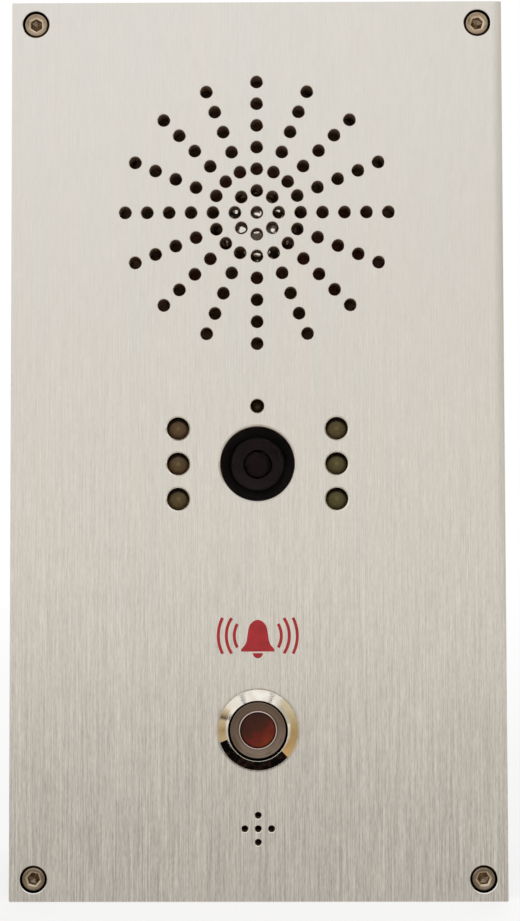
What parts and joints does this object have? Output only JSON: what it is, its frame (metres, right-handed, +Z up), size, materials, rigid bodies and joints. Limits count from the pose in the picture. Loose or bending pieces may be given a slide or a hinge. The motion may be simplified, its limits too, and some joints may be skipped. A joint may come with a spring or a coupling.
{
  "type": "door intercom panel",
  "caption": "Wall intercom panel: brushed plate with speaker grille, camera between lamps, call button and microphone on a steel wall box.",
  "frame": {"origin": "centre of the wall box's rear face, which lies on the wall", "axes": "-Y out of the wall towards the visitor, +Y into the wall, +X to the visitor's right, +Z up"},
  "size_m": [0.112, 0.0518, 0.204],
  "materials": {
    "brushed_plate": "vertically brushed, satin, slightly warm",
    "rubber": "matt black",
    "foam": "matt open-cell foam",
    "box_paint": "grey powder coat",
    "steel": "zinc plated",
    "screw_steel": "stainless",
    "basket_paint": "satin black",
    "cone_paper": "treated paper",
    "dust_cap": "polished",
    "copper": "enamelled copper wire",
    "spider_cloth": "resin treated cloth",
    "ferrite": "matt",
    "black_plastic": "fine texture",
    "smoked_window": "smoked acrylic",
    "lens_glass": "coated",
    "board": "solder mask",
    "lamp_resin": "tinted epoxy",
    "chrome_bezel": "polished",
    "red_lens": "unlit red acrylic",
    "brass": "turned",
    "capsule_metal": "drawn can",
    "jack_shield": "tinned",
    "grey_moulding": "moulded",
    "lead_sheath": "satin sheath",
    "flex": "flat flexible cable"
  },
  "bodies": {
    "panel": {"front_plate": "brushed_plate", "front_gasket": "rubber", "cable_grommet": "rubber", "microphone_boot": "rubber", "button_seal": "rubber", "speaker_surround": "rubber", "speaker_seal": "foam", "back_box": "box_paint", "corner_post_top_left": "steel", "corner_post_top_right": "steel", "corner_post_bottom_left": "steel", "corner_post_bottom_right": "steel", "speaker_top_plate": "steel", "speaker_yoke": "steel", "speaker_clamp_ring": "steel", "speaker_nut_left": "steel", "speaker_nut_right": "steel", "button_nut": "steel", "button_spring": "steel", "panel_screw_top_left": "screw_steel", "panel_screw_top_right": "screw_steel", "panel_screw_bottom_left": "screw_steel", "panel_screw_bottom_right": "screw_steel", "speaker_basket": "basket_paint", "speaker_spider": "spider_cloth", "speaker_magnet": "ferrite", "optics_bracket": "black_plastic", "lens_holder": "black_plastic", "lens_barrel": "black_plastic", "switch_block": "black_plastic", "camera_window": "smoked_window", "front_lens": "lens_glass", "camera_board": "board", "lamp_board": "board", "main_board": "board", "lamp_left_top": "lamp_resin", "lamp_left_middle": "lamp_resin", "lamp_left_bottom": "lamp_resin", "lamp_right_top": "lamp_resin", "lamp_right_middle": "lamp_resin", "lamp_right_bottom": "lamp_resin", "light_sensor": "lamp_resin", "button_body": "chrome_bezel", "board_standoff_top_left": "brass", "board_standoff_top_right": "brass", "board_standoff_bottom_left": "brass", "board_standoff_bottom_right": "brass", "microphone_capsule": "capsule_metal", "network_jack": "jack_shield", "terminal_block": "grey_moulding", "speaker_terminal": "grey_moulding", "speaker_lead": "lead_sheath", "button_lead": "lead_sheath", "camera_ribbon": "flex"},
    "call_button": {"button_cap": "steel", "button_lens": "red_lens", "button_contact": "brass"},
    "speaker_diaphragm": {"speaker_cone": "cone_paper", "speaker_dust_cap": "dust_cap", "speaker_voice_coil": "copper"}
  },
  "joints": [
    {"name": "call_button_press", "type": "slide", "parent": "panel", "child": "call_button", "axis": [0, 1, 0], "range_m": [0, 0.002], "stiffness_N_per_m": 1000, "springref_m": -0.002, "deforming": ["button_spring"]},
    {"name": "speaker_cone_travel", "type": "slide", "parent": "panel", "child": "speaker_diaphragm", "axis": [0, 1, 0], "range_m": [-0.0008, 0.0008], "stiffness_N_per_m": 2000, "deforming": ["speaker_surround", "speaker_spider"]}
  ]
}
